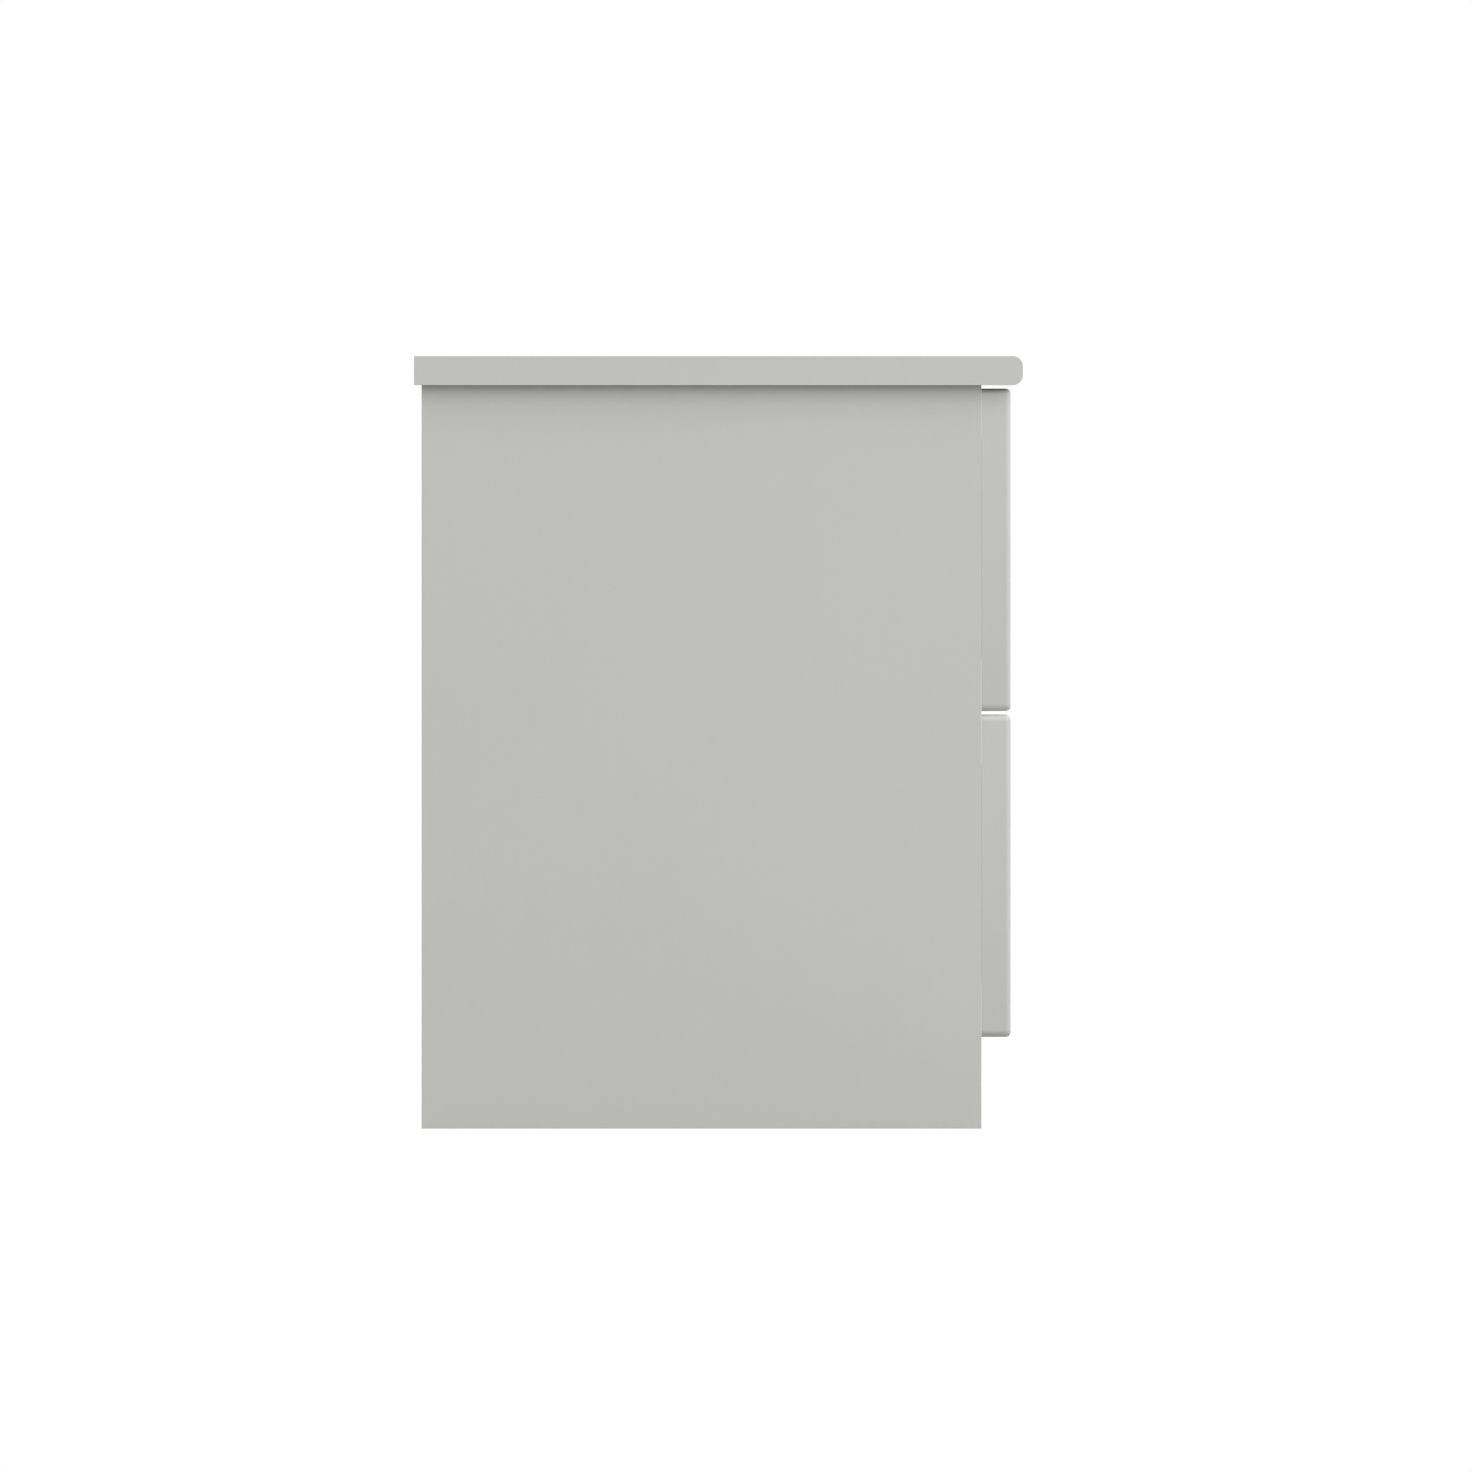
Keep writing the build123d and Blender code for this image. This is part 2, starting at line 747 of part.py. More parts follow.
box_cam_height = 80
box_dowel_heights = [45, 115]
back_screw_heights = [40, 110]
bottom_screws_x = [-120, 0, 120]
scoop_radii = [scoop_shoulder_radius, scoop_corner_radius, scoop_corner_radius, scoop_shoulder_radius]
slider_screw_w = 19
slider_screws_y = [runner_front_y + distance for distance in (40, 170, 290)]

for level, bottom_z in drawers.items():
    box_z = bottom_z + box_lift
    channel_z = channels[level]
    panel_z = box_z + bottom_lift

    def into_box(height_in_box):
        """On the back of the front, pointing into the end of the right drawer side."""
        return Plane(
            origin=(box_middle_x, front_back_y, box_z + height_in_box),
            x_dir=(1, 0, 0),
            z_dir=(0, 1, 0),
        )

    box_dowel_planes = [into_box(h) for h in box_dowel_heights]
    box_bolt_planes = [into_box(box_cam_height)]
    box_lock_planes = [
        Plane(
            origin=(box_outer_x, front_back_y + drawer_cam.reach, box_z + box_cam_height),
            x_dir=(0, -1, 0),
            z_dir=(1, 0, 0),
        )
    ]
    back_screw_planes = [
        Plane(origin=(box_outer_x, box_back_y, box_z + h), x_dir=(0, 1, 0), z_dir=(-1, 0, 0))
        for h in back_screw_heights
    ]
    bottom_screw_planes = [
        Plane(origin=(x, box_back_y, panel_z), x_dir=(1, 0, 0), z_dir=(0, 0, 1)) for x in bottom_screws_x
    ]
    slider_screw_planes = [
        across_runner(y, channel_z + slider_screw_w, runner_space - sheet) for y in slider_screws_y
    ]
    slider_pin_planes = [back_across_runner(rear_roller_y, channel_z + rear_roller_w, runner_space)]

    with BuildPart() as box_drilling:
        with Locations(*box_dowel_planes):
            add(dowel(box_dowel_radius, box_dowel_in_face, box_dowel_in_edge, hole_play))
        with Locations(*box_bolt_planes):
            add(cam_bolt_hole(drawer_cam))
        with Locations(*box_lock_planes):
            add(cam_lock_pocket(drawer_cam))
        with Locations(*back_screw_planes):
            add(countersunk_screw(small_screw_radius, back_screw_length, hole_play))
        with Locations(*slider_screw_planes):
            add(countersunk_screw(small_screw_radius, slider_screw_length, hole_play))
        with Locations(*slider_pin_planes):
            add(plain_hole(pin_radius, 0, sheet))
        mirror(about=Plane.YZ)
        with Locations(*bottom_screw_planes):
            add(plain_hole(small_screw_radius, 0, bottom_screw_length))

    # Front: rounded edges, a finger scoop in the top edge, a groove behind for the bottom
    with BuildPart() as front:
        with BuildSketch(Plane(origin=(0, front_back_y, bottom_z), x_dir=(1, 0, 0), z_dir=(0, -1, 0))):
            with BuildLine():
                FilletPolyline(
                    (-front_half_width, 0),
                    (front_half_width, 0),
                    (front_half_width, front_height),
                    (scoop_top_width / 2, front_height),
                    (scoop_bottom_width / 2, front_height - scoop_depth),
                    (-scoop_bottom_width / 2, front_height - scoop_depth),
                    (-scoop_top_width / 2, front_height),
                    (-front_half_width, front_height),
                    radius=[front_corner_radius] * 3 + scoop_radii + [front_corner_radius],
                    close=True,
                )
            make_face()
        extrude(amount=board)
        fillet(front.faces().sort_by(Axis.Y)[0].edges(), radius=front_radius)
        with BuildSketch(Plane.XY.offset(panel_z - groove_play / 2)):
            rectangle_between(
                -box_inner_x - bottom_groove_depth,
                box_inner_x + bottom_groove_depth,
                front_back_y - bottom_groove_depth,
                front_back_y,
            )
        extrude(amount=bottom_thickness + groove_play, mode=Mode.SUBTRACT)
        add(box_drilling.part, mode=Mode.SUBTRACT)
    save(front, f"{level}_drawer_front")

    # Side: stands on the drawer member of the runner, grooved inside for the bottom
    with BuildPart() as box_side_panel:
        with BuildSketch(Plane.XY.offset(box_z)):
            rectangle_between(box_inner_x, box_outer_x, front_back_y, box_rear_y)
        extrude(amount=box_height)
        long_edges = box_side_panel.edges().filter_by(Axis.Y)
        fillet(long_edges.group_by(Axis.Z)[-1], radius=box_edge_radius)
        chamfer(long_edges.group_by(Axis.Z)[0].sort_by(Axis.X)[-1], length=box_foot_chamfer)
        with BuildSketch(Plane.XY.offset(panel_z - groove_play / 2)):
            rectangle_between(
                box_inner_x, box_inner_x + bottom_groove_depth, front_back_y, box_rear_y
            )
        extrude(amount=bottom_thickness + groove_play, mode=Mode.SUBTRACT)
        add(box_drilling.part, mode=Mode.SUBTRACT)
    save(box_side_panel, f"{level}_drawer_right_side")
    save_mirrored(box_side_panel, f"{level}_drawer_left_side")

    # Back: between the sides, standing on the bottom panel
    back_z = panel_z + bottom_thickness + bottom_play
    with BuildPart() as box_back:
        with BuildSketch(Plane.XY.offset(back_z)):
            rectangle_between(-box_inner_x, box_inner_x, box_rear_y - box_side, box_rear_y)
        extrude(amount=box_z + box_height - back_z)
        top_edges = box_back.edges().filter_by(Axis.X).group_by(Axis.Z)[-1]
        fillet(top_edges, radius=box_edge_radius)
        add(box_drilling.part, mode=Mode.SUBTRACT)
    save(box_back, f"{level}_drawer_back")

    # Bottom: thin panel slid in under the back
    bottom_half_width = box_inner_x + bottom_insertion
    with BuildPart() as box_bottom:
        with BuildSketch(Plane.XY.offset(panel_z)):
            rectangle_between(
                -bottom_half_width, bottom_half_width, front_back_y - bottom_insertion, box_rear_y
            )
        extrude(amount=bottom_thickness)
        add(box_drilling.part, mode=Mode.SUBTRACT)
    save(box_bottom, f"{level}_drawer_bottom")

    # Fasteners of the box
    with BuildPart() as box_dowels:
        with Locations(*box_dowel_planes):
            add(dowel(box_dowel_radius, box_dowel_in_face, box_dowel_in_edge))
        mirror(about=Plane.YZ)
    save(box_dowels, f"{level}_drawer_dowels")

    with BuildPart() as box_bolts:
        with Locations(*box_bolt_planes):
            add(cam_bolt(drawer_cam))
        mirror(about=Plane.YZ)
    save(box_bolts, f"{level}_drawer_cam_bolts")

    with BuildPart() as box_locks:
        with Locations(*box_lock_planes):
            add(cam_lock(drawer_cam))
        mirror(about=Plane.YZ)
    save(box_locks, f"{level}_drawer_cam_locks")

    with BuildPart() as back_screws:
        with Locations(*back_screw_planes):
            add(countersunk_screw(small_screw_radius, back_screw_length))
        mirror(about=Plane.YZ)
    save(back_screws, f"{level}_drawer_back_screws")

    with BuildPart() as bottom_screws:
        with Locations(*bottom_screw_planes):
            add(pan_screw(small_screw_radius, bottom_screw_length, *small_pan_head))
    save(bottom_screws, f"{level}_drawer_bottom_screws")

    # Drawer member of the runner: a ledge under the side, a leg beside it, a flange over the roller
    with BuildPart() as slider:
        with BuildSketch(runner_section(channel_z, runner_front_y)):
            with BuildLine():
                FilletPolyline(
                    (runner_space - sheet + ledge_width, ledge_lift + sheet),
                    (runner_space, ledge_lift + sheet),
                    (runner_space, slider_top),
                    (slider_reach, slider_top),
                    (slider_reach, slider_top - slider_lip),
                    radius=[ledge_bend_radius, bend_radius, bend_radius],
                )
                offset(amount=sheet, side=Side.LEFT)
            make_face()
        extrude(amount=runner_length)
        add(box_drilling.part, mode=Mode.SUBTRACT)
    save(slider, f"{level}_drawer_right_runner")
    save_mirrored(slider, f"{level}_drawer_left_runner")

    with BuildPart() as slider_screws:
        with Locations(*slider_screw_planes):
            add(countersunk_screw(small_screw_radius, slider_screw_length))
        mirror(about=Plane.YZ)
    save(slider_screws, f"{level}_drawer_runner_screws")

    with BuildPart() as slider_pins:
        with Locations(*slider_pin_planes):
            add(roller_pin(drawer_shoulder))
        mirror(about=Plane.YZ)
    save(slider_pins, f"{level}_drawer_roller_pins")
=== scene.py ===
import json
import math

import bmesh
import bpy
from mathutils import Matrix, Vector


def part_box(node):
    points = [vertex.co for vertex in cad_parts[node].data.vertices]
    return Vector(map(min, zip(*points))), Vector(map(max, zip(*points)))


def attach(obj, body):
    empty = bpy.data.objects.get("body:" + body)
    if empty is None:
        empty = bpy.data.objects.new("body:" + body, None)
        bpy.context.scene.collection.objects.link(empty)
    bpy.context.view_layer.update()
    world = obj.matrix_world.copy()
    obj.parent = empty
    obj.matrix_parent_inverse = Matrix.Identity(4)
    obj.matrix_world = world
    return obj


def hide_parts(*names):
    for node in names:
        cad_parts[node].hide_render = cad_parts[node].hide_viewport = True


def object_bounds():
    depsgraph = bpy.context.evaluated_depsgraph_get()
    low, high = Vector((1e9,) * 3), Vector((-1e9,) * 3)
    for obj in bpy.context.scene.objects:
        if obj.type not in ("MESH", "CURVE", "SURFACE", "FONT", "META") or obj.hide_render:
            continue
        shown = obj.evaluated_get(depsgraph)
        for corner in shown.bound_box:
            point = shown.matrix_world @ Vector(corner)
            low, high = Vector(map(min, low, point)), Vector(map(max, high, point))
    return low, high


# Nightstand with two drawers: finishes, detailed fasteners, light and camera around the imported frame.
# Metres, +Z up. The drawer fronts face -Y, and the camera looks at the left side, along +X.

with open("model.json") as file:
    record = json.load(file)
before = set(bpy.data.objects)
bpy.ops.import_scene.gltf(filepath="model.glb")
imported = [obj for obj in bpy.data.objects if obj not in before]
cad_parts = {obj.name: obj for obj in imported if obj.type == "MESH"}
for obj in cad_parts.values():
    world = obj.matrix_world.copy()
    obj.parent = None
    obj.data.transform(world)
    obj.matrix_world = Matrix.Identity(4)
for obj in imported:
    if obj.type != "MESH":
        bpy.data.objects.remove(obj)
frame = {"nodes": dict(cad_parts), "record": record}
cad_low, cad_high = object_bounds()
nodes = frame["nodes"]
slot_of = {part["node"]: part["material_slot"] for part in frame["record"]["subparts"]}
MM = 0.001


def linear(red, green, blue):
    """Linear colour from display values of 0 to 255."""
    shares = [value / 255 for value in (red, green, blue)]
    return tuple(s / 12.92 if s <= 0.04045 else ((s + 0.055) / 1.055) ** 2.4 for s in shares)


# ------------------------------------------------------------------------------------------
# Node materials
# ------------------------------------------------------------------------------------------


class Finish:
    """A node material, with short calls for the nodes that feed its Principled shader."""

    def __init__(self, name, **uniform):
        self.material = bpy.data.materials.new(name)
        self.material.use_nodes = True
        self.tree = self.material.node_tree
        self.shader = self.tree.nodes["Principled BSDF"]
        coordinates = self.tree.nodes.new("ShaderNodeTexCoord")
        self.place = coordinates.outputs["Object"]
        self.facing = coordinates.outputs["Normal"]
        for socket, value in uniform.items():
            self.shader.inputs[socket.replace("_", " ")].default_value = value

    def feed(self, socket, value):
        if isinstance(value, bpy.types.NodeSocket):
            self.tree.links.new(value, socket)
        else:
            socket.default_value = value

    def math(self, operation, first, second=0.0):
        node = self.tree.nodes.new("ShaderNodeMath")
        node.operation = operation
        self.feed(node.inputs[0], first)
        self.feed(node.inputs[1], second)
        return node.outputs[0]

    def vector(self, operation, first, second):
        node = self.tree.nodes.new("ShaderNodeVectorMath")
        node.operation = operation
        self.feed(node.inputs[0], first)
        self.feed(node.inputs[1], second)
        return node.outputs[0]

    def axes(self, vector):
        node = self.tree.nodes.new("ShaderNodeSeparateXYZ")
        self.feed(node.inputs[0], vector)
        return node.outputs

    def stretched(self, scale):
        """The place on the object, with its axes scaled."""
        node = self.tree.nodes.new("ShaderNodeMapping")
        self.feed(node.inputs["Vector"], self.place)
        node.inputs["Scale"].default_value = scale
        return node.outputs[0]

    def noise(self, scale, detail=2.0, roughness=0.5, place=None):
        node = self.tree.nodes.new("ShaderNodeTexNoise")
        self.feed(node.inputs["Vector"], place or self.place)
        node.inputs["Scale"].default_value = scale
        node.inputs["Detail"].default_value = detail
        node.inputs["Roughness"].default_value = roughness
        return node.outputs["Fac"]

    def cells(self, scale, place):
        """A random tone for each cell of a Voronoi pattern."""
        node = self.tree.nodes.new("ShaderNodeTexVoronoi")
        self.feed(node.inputs["Vector"], place)
        node.inputs["Scale"].default_value = scale
        return node.outputs["Color"]

    def between(self, value, low, high, start=0.0, end=1.0):
        """Low where value is start or less, high where it is end or more, and linear between them."""
        node = self.tree.nodes.new("ShaderNodeMapRange")
        self.feed(node.inputs["Value"], value)
        self.feed(node.inputs["From Min"], start)
        self.feed(node.inputs["From Max"], end)
        self.feed(node.inputs["To Min"], low)
        self.feed(node.inputs["To Max"], high)
        return node.outputs[0]

    def mix(self, share, first, second):
        """First colour where share is 0, second where it is 1."""
        node = self.tree.nodes.new("ShaderNodeMix")
        node.data_type = "RGBA"
        self.feed(node.inputs[0], share)
        # A mix node has its sockets once for each data type; inputs 6 and 7 and output 2 are for colour
        for socket, colour in ((node.inputs[6], first), (node.inputs[7], second)):
            self.feed(socket, (*colour, 1.0) if isinstance(colour, tuple) else colour)
        return node.outputs[2]

    def shade(self, colour, amount):
        """Colour times a grey amount around 1."""
        node = self.tree.nodes.new("ShaderNodeVectorMath")
        node.operation = "SCALE"
        self.feed(node.inputs[0], colour)
        self.feed(node.inputs["Scale"], amount)
        return node.outputs[0]

    def bump(self, height, distance, strength=0.5, under=None):
        node = self.tree.nodes.new("ShaderNodeBump")
        node.inputs["Strength"].default_value = strength
        node.inputs["Distance"].default_value = distance
        self.feed(node.inputs["Height"], height)
        if under is not None:
            self.feed(node.inputs["Normal"], under)
        return node.outputs[0]

    def paint(self, colour, roughness, normal=None):
        """The finished material, with these for its shader."""
        self.feed(self.shader.inputs["Base Color"], colour)
        self.feed(self.shader.inputs["Roughness"], roughness)
        if normal is not None:
            self.feed(self.shader.inputs["Normal"], normal)
        return self.material


GREY_FOIL = linear(200, 201, 196)
WHITE_FOIL = linear(231, 231, 227)
LIGHT_CHIP = linear(201, 172, 128)
DARK_CHIP = linear(122, 88, 54)
# Brown of the paper under the top, dark so that it deepens the shade under the overhang
SHADE_PAPER_BROWN = linear(98, 82, 66)
LIGHT_PULP = linear(152, 121, 90)
DARK_PULP = linear(120, 91, 66)
GREY_LACQUER = linear(214, 214, 209)
WHITE_LACQUER = linear(236, 236, 231)
LIGHT_BEECH = linear(228, 193, 148)
DARK_BEECH = linear(196, 156, 112)
ZINC_CASTING = linear(168, 168, 166)
ZINC_PLATE = linear(172, 174, 173)
WHITE_POWDER = linear(238, 238, 236)
NATURAL_NYLON = linear(232, 230, 222)
GREY_PLASTIC = linear(214, 214, 209)

# A surface that lies deeper than this inside its board's box is a cut, which shows raw chipboard
SKIN = 0.75 * MM
DEEP_SKINS = {
    "top_panel": 2.2 * MM,  # its rounded nose lies up to 1.9 mm inside its box
    "upper_drawer_front": 30 * MM,  # more than its thickness, because its finger scoop is foiled
    "lower_drawer_front": 30 * MM,
}
SHADE_PAPER_THICKNESS = 0.05 * MM
RAW_ROUGHNESS = 0.9


def cut_mask(finish, node):
    """1 where a surface lies deeper than the skin of its board, as in holes and grooves."""
    low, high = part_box(node)
    depth = finish.vector(
        "MINIMUM",
        finish.vector("SUBTRACT", finish.place, tuple(low)),
        finish.vector("SUBTRACT", tuple(high), finish.place),
    )
    x, y, z = finish.axes(depth)
    nearest = finish.math("MINIMUM", x, finish.math("MINIMUM", y, z))
    return finish.math("GREATER_THAN", nearest, DEEP_SKINS.get(node, SKIN))


def board(name, tint, node, shade_paper_under=False, painted_light_ends=False):
    """Foiled board: satin foil with a faint cloud and orange peel, raw chipboard where it is cut,
    painted light on the ends of a front if asked, and a dark underside that deepens the shade under it
    if asked.
    """
    finish = Finish(name, Specular_IOR_Level=0.42)
    low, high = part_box(node)
    height = finish.axes(finish.place)[2]
    cloud = finish.between(finish.noise(7.0, 3.0, 0.55), 0.985, 1.015)
    strands = finish.noise(160.0, 3.0, place=finish.stretched((1.0, 1.0, 0.08)))
    streak = finish.between(strands, 0.993, 1.007)
    speck = finish.between(finish.noise(1500.0, 1.0), 0.985, 1.015)
    tone = finish.math("MULTIPLY", cloud, finish.math("MULTIPLY", streak, speck))
    if painted_light_ends:
        # Painted light and shade: the end faces of a front are painted lighter towards its top and
        # darker towards its bottom, as light from above falls on them
        sideways = finish.math("ABSOLUTE", finish.axes(finish.facing)[0])
        is_end = finish.math("GREATER_THAN", sideways, 0.7)
        painted_light_slope = finish.between(height, 0.945, 1.035, low.z, high.z)
        tone = finish.math("MULTIPLY", tone, finish.between(is_end, 1.0, painted_light_slope))
    foil = finish.shade(tint, tone)
    if shade_paper_under:
        # Brown balancing paper on the underside, made dark so that it deepens the shade under the top's
        # overhang
        shade_paper = finish.shade(SHADE_PAPER_BROWN, finish.between(finish.noise(240.0, 4.0), 0.9, 1.1))
        foil = finish.mix(finish.math("LESS_THAN", height, low.z + SHADE_PAPER_THICKNESS), foil, shade_paper)
    chips = finish.mix(finish.cells(420.0, finish.stretched((1.0, 0.35, 2.2))), DARK_CHIP, LIGHT_CHIP)
    cut = cut_mask(finish, node)
    peel = finish.bump(finish.noise(520.0, 2.0, 0.6), 0.06 * MM)
    grain = finish.bump(finish.noise(3200.0, 1.0), 0.01 * MM, under=peel)
    satin = finish.between(finish.noise(45.0, 3.0), 0.40, 0.50)
    return finish.paint(finish.mix(cut, foil, chips), finish.between(cut, satin, RAW_ROUGHNESS), grain)


def hardboard(name, lacquer_tint, lacquer_axis, lacquer_side):
    """Hardboard: one face lacquered, the other raw brown with the marks of the press screen.

    The lacquered face looks along axis 0, 1 or 2, towards side 1 or -1.
    """
    finish = Finish(name, Specular_IOR_Level=0.3)
    facing = finish.axes(finish.facing)[lacquer_axis]
    lacquered = finish.math("GREATER_THAN", finish.math("MULTIPLY", facing, lacquer_side), 0.5)
    wires = 4200.0  # radians in a metre, so that the screen has a wire every 1.5 mm
    x, y, z = finish.axes(finish.stretched((wires, wires, wires)))
    along = y if lacquer_axis == 2 else z
    screen = finish.math("MULTIPLY", finish.math("SINE", x), finish.math("SINE", along))
    pulp = finish.noise(90.0, 8.0, 0.75)
    fibre = finish.noise(900.0, 3.0, 0.8, finish.stretched((0.35, 1.0, 1.0)))
    cloud = finish.between(finish.noise(9.0, 3.0), 0.95, 1.05)
    brown = finish.mix(finish.between(pulp, 0.0, 1.0, 0.25, 0.75), DARK_PULP, LIGHT_PULP)
    tone = finish.math("MULTIPLY", cloud, finish.between(fibre, 0.82, 1.12, 0.3, 0.7))
    pits = finish.math("MULTIPLY", tone, finish.between(screen, 0.9, 1.04, -1.0, 1.0))
    lacquer = finish.shade(lacquer_tint, finish.between(finish.noise(300.0, 3.0), 0.98, 1.02))
    colour = finish.mix(lacquered, finish.shade(brown, pits), lacquer)
    relief = finish.math("ADD", screen, finish.math("MULTIPLY", fibre, 2.0))
    smooth = finish.math("MULTIPLY", finish.noise(500.0, 2.0), 0.3)
    height = finish.between(lacquered, relief, smooth)
    return finish.paint(colour, finish.between(lacquered, 0.85, 0.45), finish.bump(height, 0.1 * MM))


def beech():
    finish = Finish("beech_wood", Specular_IOR_Level=0.3)
    grain = finish.noise(300.0, 4.0, 0.6, finish.stretched((0.12, 1.0, 1.0)))
    ray = finish.noise(2500.0, 2.0, 0.6, finish.stretched((0.1, 1.0, 1.0)))
    colour = finish.mix(grain, DARK_BEECH, LIGHT_BEECH)
    colour = finish.shade(colour, finish.between(ray, 0.88, 1.06))
    return finish.paint(colour, 0.6, finish.bump(ray, 0.05 * MM, strength=0.6))


def metal(name, tint, roughness, grain_scale, depth):
    """Bare or plated metal with a fine grain and slight stains."""
    finish = Finish(name, Metallic=1.0)
    stain = finish.noise(220.0, 4.0, 0.65)
    grain = finish.noise(grain_scale, 3.0, 0.7)
    colour = finish.shade(tint, finish.between(stain, 0.9, 1.05))
    rough = finish.between(grain, roughness - 0.08, roughness + 0.1)
    return finish.paint(colour, rough, finish.bump(grain, depth))


def powder_coat():
    finish = Finish("white_powder_coat", Specular_IOR_Level=0.5, Coat_Weight=0.15, Coat_Roughness=0.3)
    peel = finish.noise(1500.0, 2.0, 0.5)
    colour = finish.shade(WHITE_POWDER, finish.between(finish.noise(60.0, 3.0), 0.97, 1.01))
    return finish.paint(colour, finish.between(peel, 0.36, 0.46), finish.bump(peel, 0.05 * MM))


def moulded(name, tint, roughness, subsurface=0.0):
    """Moulded plastic with a fine eroded skin."""
    finish = Finish(
        name, Specular_IOR_Level=0.45, Subsurface_Weight=subsurface, Subsurface_Scale=2 * MM,
    )
    skin = finish.noise(1800.0, 3.0, 0.6)
    flow = finish.noise(90.0, 2.0)
    colour = finish.shade(tint, finish.between(flow, 0.96, 1.02))
    rough = finish.between(skin, roughness - 0.06, roughness + 0.06)
    return finish.paint(colour, rough, finish.bump(skin, 0.03 * MM))


shared_finishes = {
    "beech": beech(),
    "die_cast_zinc": metal("die_cast_zinc", ZINC_CASTING, 0.42, 900.0, 0.05 * MM),
    "zinc_plated_steel": metal("zinc_plated_steel", ZINC_PLATE, 0.26, 1600.0, 0.02 * MM),
    "white_coated_steel": powder_coat(),
    "white_nylon": moulded("white_nylon", NATURAL_NYLON, 0.38, subsurface=0.08),
    "bracket_plastic": moulded("bracket_plastic", GREY_PLASTIC, 0.46),
}


def finish_for(node):
    """The material of a CAD node, from its slot in the record."""
    slot = slot_of[node]
    if slot == "grey_foil_board":
        return board(
            f"grey_foil_{node}", GREY_FOIL, node,
            shade_paper_under=node == "top_panel", painted_light_ends=node.endswith("front"),
        )
    if slot == "white_foil_board":
        return board(f"white_foil_{node}", WHITE_FOIL, node)
    if slot == "hardboard":
        return hardboard("brown_hardboard", GREY_LACQUER, lacquer_axis=1, lacquer_side=-1)
    if slot == "white_hardboard":
        return hardboard(f"white_hardboard_{node}", WHITE_LACQUER, lacquer_axis=2, lacquer_side=1)
    return shared_finishes[slot]


for name, cad in nodes.items():
    cad.data.materials.clear()
    cad.data.materials.append(finish_for(name))

# ------------------------------------------------------------------------------------------
# Detailed fasteners: threads, rings, drives and flutes, placed where the CAD fasteners are.
# Each shape has its sizes in millimetres, and runs along +Z from its head at z = 0.
# ------------------------------------------------------------------------------------------

ROWS_PER_TURN = 8  # mesh rows along one turn of a thread
THREAD_SHARE = 0.32  # height of a thread's ridge, as a share of its outer radius
RING_SHARE = 0.15  # the same for the rings of a nail
RIDGE_SLOPE = 3.0  # a ridge's two flanks take 2 / RIDGE_SLOPE of a turn
DOME_STEPS = 6  # mesh rows from the top of a rounded head to its rim
SHARP_ANGLE = math.radians(35)
MERGE_DISTANCE = 0.001 * MM
END_SHARE = 0.1  # each end of a CAD fastener, as a share of its length


def threaded_rows(start, end, radius, pitch, ridge):
    """Rows of (radius, z, ridge) for a threaded stretch, with a ridge that fades out at both ends."""
    count = math.ceil((end - start) / pitch * ROWS_PER_TURN)
    rows = []
    for step in range(count + 1):
        z = start + (end - start) * step / count
        rows.append((radius, z, ridge * min(1.0, (z - start) / pitch, (end - z) / pitch)))
    return rows


def turned(rows, segments=32, pitch=1.0, lead=1, flutes=0, flute_depth=0.0):
    """Closed mesh turned about Z from (radius, z, ridge) rows, from one pole to the other.

    A ridge winds round the axis if lead is 1 and makes separate rings if it is 0. Flutes run
    along every row but the first two and the last two, which close the ends.
    """
    points = []
    starts = []
    fluted = range(2, len(rows) - 2)
    for index, (radius, z, ridge) in enumerate(rows):
        starts.append(len(points))
        if radius == 0:
            points.append((0.0, 0.0, z * MM))
            continue
        for column in range(segments):
            turn = column / segments
            phase = (z / pitch - turn * lead) % 1.0
            reach = radius + ridge * max(0.0, 1.0 - RIDGE_SLOPE * abs(phase - 0.5))
            if index in fluted:
                reach -= flute_depth * (0.5 - 0.5 * math.cos(turn * flutes * math.tau)) ** 2
            angle = turn * math.tau
            points.append((reach * MM * math.cos(angle), reach * MM * math.sin(angle), z * MM))
    faces = []
    for row in range(len(rows) - 1):
        here, there = starts[row], starts[row + 1]
        for column in range(segments):
            after = (column + 1) % segments
            if rows[row][0] == 0:
                faces.append((here, there + after, there + column))
            elif rows[row + 1][0] == 0:
                faces.append((here + column, here + after, there))
            else:
                faces.append((here + column, here + after, there + after, there + column))
    mesh = bpy.data.meshes.new("turned")
    mesh.from_pydata(points, [], faces)
    return mesh


def plain_rows(*outline):
    """Rows without a ridge, from (radius, z) points."""
    return [(radius, z, 0.0) for radius, z in outline]


def domed_head(radius, height, rim):
    """Rows of a rounded head, from its pole to the end of its upright rim."""
    quarter = [step / DOME_STEPS * math.pi / 2 for step in range(DOME_STEPS + 1)]
    dome = [(radius * math.sin(angle), (height - rim) * (1 - math.cos(angle))) for angle in quarter]
    return plain_rows(*dome, (radius, height))


